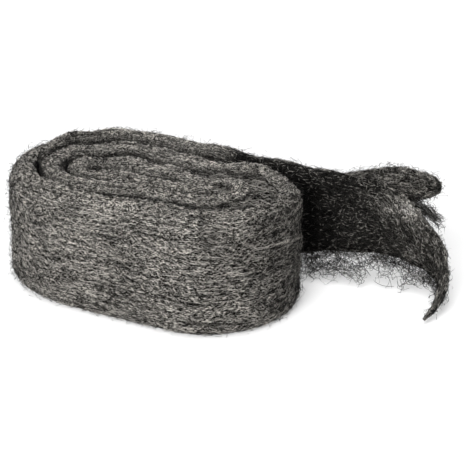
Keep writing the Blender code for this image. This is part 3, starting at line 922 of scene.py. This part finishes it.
def body_material(patches):
    """The dense wool: fine bright streaks along the winding over near black, at two slants."""
    material, tree, shader = principled("dense steel wool", BODY_METALLIC, BODY_ROUGHNESS)
    flat = put(tree, "ShaderNodeAttribute", attribute_name="on_ribbon").outputs["Vector"]
    streaks = []
    for slant, along, across in STREAKS:
        apart = put(tree, "ShaderNodeSeparateXYZ", {0: flat}).outputs
        sheared = number(tree, "ADD", apart[1], product(tree, apart[0], slant))
        place = number(tree, "DIVIDE", apart[0], along), number(tree, "DIVIDE", sheared, across), slant
        grain = {"Vector": joined(tree, *place), "Scale": 1.0, "Detail": 2.0, "Distortion": STREAK_DISTORTION}
        streaks.append(first_of(tree, "ShaderNodeTexNoise", grain))
    height = number(tree, "MAXIMUM", *streaks)
    colour = ramp(tree, height, BODY_GREYS)
    tree.links.new(patchy(tree, colour, patches, 1.0), shader["Base Color"])
    bump = {"Height": height, "Strength": STREAK_BUMP, "Distance": STREAK_BUMP_HEIGHT}
    tree.links.new(first_of(tree, "ShaderNodeBump", bump), shader["Normal"])
    return material


def fibre_material(name, greys, power, patches):
    """Single steel fibres: each has its own grey, and most are dark."""
    material, tree, shader = principled(name + " fibres", FIBRE_METALLIC, FIBRE_ROUGHNESS)
    tone = put(tree, "ShaderNodeAttribute", attribute_name="tone").outputs["Fac"]
    colour = ramp(tree, tone, greys)
    tree.links.new(patchy(tree, colour, patches, power), shader["Base Color"])
    return material


def add_floor():
    material, tree, shader = principled("white floor", 0.0, FLOOR_ROUGHNESS)
    shader["Base Color"].default_value = (FLOOR_WHITE, FLOOR_WHITE, FLOOR_WHITE, 1)
    seen = put(tree, "ShaderNodeLightPath").outputs["Is Camera Ray"]
    place = put(tree, "ShaderNodeTexCoord").outputs["Object"]
    away = put(tree, "ShaderNodeVectorMath", {0: place}, operation="LENGTH").outputs["Value"]
    glow = {0: away, 1: FLOOR_NEAR, 2: FLOOR_FAR, 3: FLOOR_GLOW, 4: 1.0}
    glow = first_of(tree, "ShaderNodeMapRange", glow, interpolation_type="SMOOTHSTEP")
    tree.links.new(product(tree, seen, glow), shader["Emission Strength"])
    shader["Emission Color"].default_value = (1, 1, 1, 1)
    mesh = bpy.data.meshes.new("floor")
    corners = [(x * FLOOR_REACH, y * FLOOR_REACH, 0) for x, y in ((-1, -1), (1, -1), (1, 1), (-1, 1))]
    mesh.from_pydata(corners, [], [(0, 1, 2, 3)])
    mesh.materials.append(material)
    piece_of("floor", mesh)


def add_light(name, place, size, power):
    lamp = bpy.data.lights.new(name, "AREA")
    lamp.shape = "DISK"
    lamp.size = size
    lamp.energy = power
    light = bpy.data.objects.new(name, lamp)
    light.location = place
    light.rotation_euler = (CAMERA_AIM - Vector(place)).to_track_quat("-Z", "Y").to_euler()
    bpy.context.scene.collection.objects.link(light)


def add_world():
    world = bpy.data.worlds.new("studio")
    world.use_nodes = True
    bpy.context.scene.world = world
    tree = world.node_tree
    path = put(tree, "ShaderNodeLightPath").outputs
    shown = number(tree, "MAXIMUM", path["Is Camera Ray"], path["Is Glossy Ray"])
    shown = number(tree, "MAXIMUM", shown, path["Is Transmission Ray"])
    strength = number(tree, "ADD", product(tree, shown, 1.0 - WORLD_LIGHT), WORLD_LIGHT)
    tree.links.new(strength, tree.nodes["Background"].inputs["Strength"])
    tree.nodes["Background"].inputs["Color"].default_value = (1, 1, 1, 1)


def add_camera():
    camera = bpy.data.cameras.new("camera")
    camera.lens = CAMERA_LENS
    camera.sensor_width = CAMERA_SENSOR
    camera.clip_end = CAMERA_FAR
    eye = bpy.data.objects.new("camera", camera)
    level = math.cos(CAMERA_ELEVATION)
    forward = Vector(
        (-math.sin(CAMERA_AZIMUTH) * level, math.cos(CAMERA_AZIMUTH) * level, -math.sin(CAMERA_ELEVATION))
    )
    eye.location = CAMERA_AIM - forward * CAMERA_DISTANCE
    eye.rotation_euler = forward.to_track_quat("-Z", "Y").to_euler()
    bpy.context.scene.collection.objects.link(eye)
    bpy.context.scene.camera = eye


def finish_piece(piece, replaced=False):
    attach(piece, "root")
    if replaced:
        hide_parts("steel_wool_roll")


def groove_share(mesh, exposure, points_round):
    """For the painted groove shade: 1 down between two turns that lie side by side, falling to 0 on their
    crests.
    """
    exposure = exposure.reshape(-1, points_round)
    depth = values_of(mesh, "depth").reshape(-1, points_round)
    side = values_of(mesh, "side").reshape(-1, points_round)
    share = np.zeros(depth.shape)
    for which in (-1, 1):
        on_wall = (side == which) & (depth > GROOVE_TEST_DEPTH) & (depth < 3 * GROOVE_TEST_DEPTH)
        open_wall = (exposure * on_wall).sum(axis=1) / np.maximum(on_wall.sum(axis=1), 1)
        closed = 1 - smooth_between(open_wall, GROOVE_CLOSED, GROOVE_OPEN)
        down = smooth_step(depth / GROOVE_FULL)
        share += (side == which) * down * closed[:, None]
    return share.ravel()


def dress(mesh, finish, on_tail, shades, points_round):
    """Makes a body uneven, stores how dark it is (mostly painted shade) and where each kind of fibre grows,
    and shows it.
    """
    places = points_of(mesh)
    eye = near(places, EYE_PLACE, EYE_REACH) * smooth_step(places[:, 2] / EYE_FROM - 1)
    places[:, 2] -= EYE_DEPTH * eye
    place_points(mesh, places)
    make_uneven(mesh)
    mesh.shade_smooth()
    mesh.materials.append(finish)
    exposure = exposure_of(mesh)
    up = normals_of(mesh)[:, 2]
    grooves = groove_share(mesh, exposure, points_round)
    # painted shade: darker in the grooves between turns and wherever the wool is covered
    darkest = np.where(values_of(mesh, "side") > 0, OUTER_GROOVE_PAINTED_SHADE, INNER_GROOVE_PAINTED_SHADE)
    bright = smooth_between(exposure, COVERED, UNCOVERED) * (1 - grooves)
    shades = shades * (darkest + (1 - darkest) * bright)
    shades *= 1 - (1 - RIM_SHADE) * smooth_between(up, RIM_FROM, RIM_FULL)
    # painted light in the notch, for the white that shows through the thin frayed wool
    shades += NOTCH_PAINTED_LIGHT * near(points_of(mesh), NOTCH_PLACE, NOTCH_REACH)
    # painted shade in the eye's hollow
    store(mesh, "shade", shades * (1 - (1 - EYE_PAINTED_SHADE) * eye))
    # fewer fibres where the wool is covered and in the grooves, so that the body's painted shade shows
    # through
    exposure *= 1 - GROOVE_BARENESS * grooves
    store(mesh, "coat", exposure)
    store(mesh, "wall_coat", exposure * (abs(up) < FLAT_FROM) * (1 - on_tail))
    store(mesh, "rim_coat", exposure * (up >= FLAT_FROM) * (1 - on_tail))
    store(mesh, "foot_coat", exposure * (up <= -FLAT_FROM) * (1 - on_tail))
    store(mesh, "tail_coat", exposure * on_tail)
    finish_piece(piece_of(mesh.name, mesh), replaced=True)


def edge_line(rows, share):
    """Points on the sections' middle planes, at a share of the half height: the crest is 1, the foot -1."""
    return rows[:, MIDDLE] + rows[:, UPRIGHT] * (rows[:, [HALF_HEIGHT]] * share)


def fringe_mesh(rows, shift):
    """Under the trunk and inside the bow of the lower lock."""
    tail = rows[FRINGE_ROWS]
    upper = edge_line(tail, FRINGE_TOP)
    share = np.linspace(0, 1, len(tail))
    bow = np.clip(FRINGE_BOW_START + (1 - FRINGE_BOW_START) * share, 0, 1)
    drop = FRINGE_DROP * np.sin(math.pi * bow) ** FRINGE_FULLNESS + FRINGE_LEAST_DROP
    lower = upper - tail[:, UPRIGHT] * drop[:, None]
    lower[:, 1] -= FRINGE_FORWARD * (1 - share) ** 0.5
    lower[:, 2] = np.maximum(lower[:, 2], FRINGE_OVER_FLOOR)
    return web_mesh("fringe_web", upper + shift, lower + shift)


def notch_mesh(rows, lock_rows, shift):
    """Between the two locks."""
    upper = edge_line(lock_rows[NOTCH_UPPER], NOTCH_UPPER_EDGE)
    lower = edge_line(rows[NOTCH_LOWER], NOTCH_LOWER_EDGE)
    return web_mesh("notch_web", upper + shift, lower + shift)


def filling_mesh(name, tree, along, across, height, shade):
    """A level sheet, on which fibres grow where it lies between the turns."""
    along, across = (np.arange(*reach, FILLING_STEP) for reach in (along, across))
    places = np.stack(np.meshgrid(along, across, [height], indexing="ij"), axis=-1)[:, :, 0]
    mesh = sheet_mesh(name + "_web", places)
    around = level_directions()
    between = []
    for place in map(Vector, points_of(mesh)):
        nearest, normal = tree.find_nearest(place)[:2]
        outside = (place - nearest).dot(normal) > 0
        between.append(float(outside and all(tree.ray_cast(place, way, FILLING_REACH)[0] for way in around)))
    store(mesh, "coat", between)
    # the painted shade of the hollow that the filling lies in
    store(mesh, "shade", np.full(len(between), shade))
    return mesh


def strip_mesh(name, path, width, upright):
    """A narrow sheet along a path, with fibres thinning out from its middle."""
    middle = finer(np.array(path), FINER_STRIP)
    sides = np.linspace(-1, 1, STRIP_ROWS)
    places = middle[:, None, :] + sides[None, :, None] * width / 2 * np.array(upright)
    mesh = sheet_mesh(name, places)
    store(mesh, "coat", np.tile(1 - STRIP_THINNING * abs(sides), len(middle)))
    store(mesh, "shade", np.ones(len(mesh.vertices)))
    return mesh


def wall_path(tree):
    """The loose strand's path, laid on the roll's front wall."""
    path = []
    for place in WALL_STRAND:
        nearest, normal = tree.find_nearest(Vector(place))[:2]
        path.append(nearest + normal * WALL_STRAND_LIFT)
    return path


def shades_along(mesh, past_roll):
    """How bright the ribbon is: painted shade at its ends, by place along the roll, and the roll's painted
    shadow over the tail's darker wool, by length along the tail.
    """
    tail = np.interp(past_roll, *np.transpose(TAIL_PAINTED_SHADOW_AND_TONE))
    # the roll's painted shadow darkens the tail's inner, front side most
    tail = np.where(values_of(mesh, "side") < 0, tail, np.maximum(tail, TAIL_BACK_SHADE))
    return np.where(past_roll > 0, tail, np.interp(points_of(mesh)[:, 0], *np.transpose(PAINTED_END_SHADE)))


def main():
    rows, leaving = ribbon_stations()
    fine_rows = finer(rows, FINER_ALONG)
    fine_lock_rows = finer(upper_lock_stations(leaving), FINER_ALONG)
    roll_mesh = wool_mesh("wool_body", fine_rows, PROFILE_POINTS)
    lock_mesh = wool_mesh("upper_lock_body", fine_lock_rows, LOCK_PROFILE_POINTS)
    places = np.concatenate([points_of(roll_mesh), points_of(lock_mesh)])
    middle = (places.min(axis=0) + places.max(axis=0)) / 2
    shift = np.array([-middle[0], -middle[1], 0.0])
    for mesh in (roll_mesh, lock_mesh):
        place_points(mesh, points_of(mesh) + shift)

    patches = patches_group()
    wool_finish = body_material(patches)
    finishes = {name: fibre_material(name, *finish, patches) for name, finish in FIBRE_FINISHES.items()}
    past_roll = flat_places_of(roll_mesh)[:, 0] - lengths_along(rows[: -TRUNK_STEPS - LOCK_STEPS])[-1]
    on_tail = smooth_step(past_roll / TAIL_START)
    dress(roll_mesh, wool_finish, on_tail, shades_along(roll_mesh, past_roll), PROFILE_POINTS)
    dress(lock_mesh, wool_finish, np.ones(len(lock_mesh.vertices)), LOCK_SHADE, LOCK_PROFILE_POINTS)

    wool = search_tree_of(roll_mesh)
    surfaces = {
        "strand": strip_mesh("strand_web", wall_path(wool), WALL_STRAND_WIDTH, (0, 0, 1)),
        "stray": strip_mesh("stray_web", STRAY_LOCK, STRAY_LOCK_WIDTH, (0, 0, 1)),
        "roll": roll_mesh,
        "lock": lock_mesh,
        "fringe": fringe_mesh(fine_rows, shift),
        "notch": notch_mesh(fine_rows, fine_lock_rows, shift),
    }
    surfaces.update({name: filling_mesh(name, wool, *sizes) for name, sizes in FILLINGS.items()})
    tree = fibre_tree()
    for name, (surface, finish, kind, where, density, seed, changes) in FIBRE_PIECES.items():
        inputs = {**kind, "Where": where, "Fibres per square metre": density, "Seed": seed, **changes}
        finish_piece(fibres_on(name, surfaces[surface], tree, {**inputs, "Steel": finishes[finish]}))

    add_floor()
    add_world()
    for light in LIGHTS:
        add_light(*light)
    add_camera()
    bpy.context.scene.view_settings.view_transform = "Standard"


main()
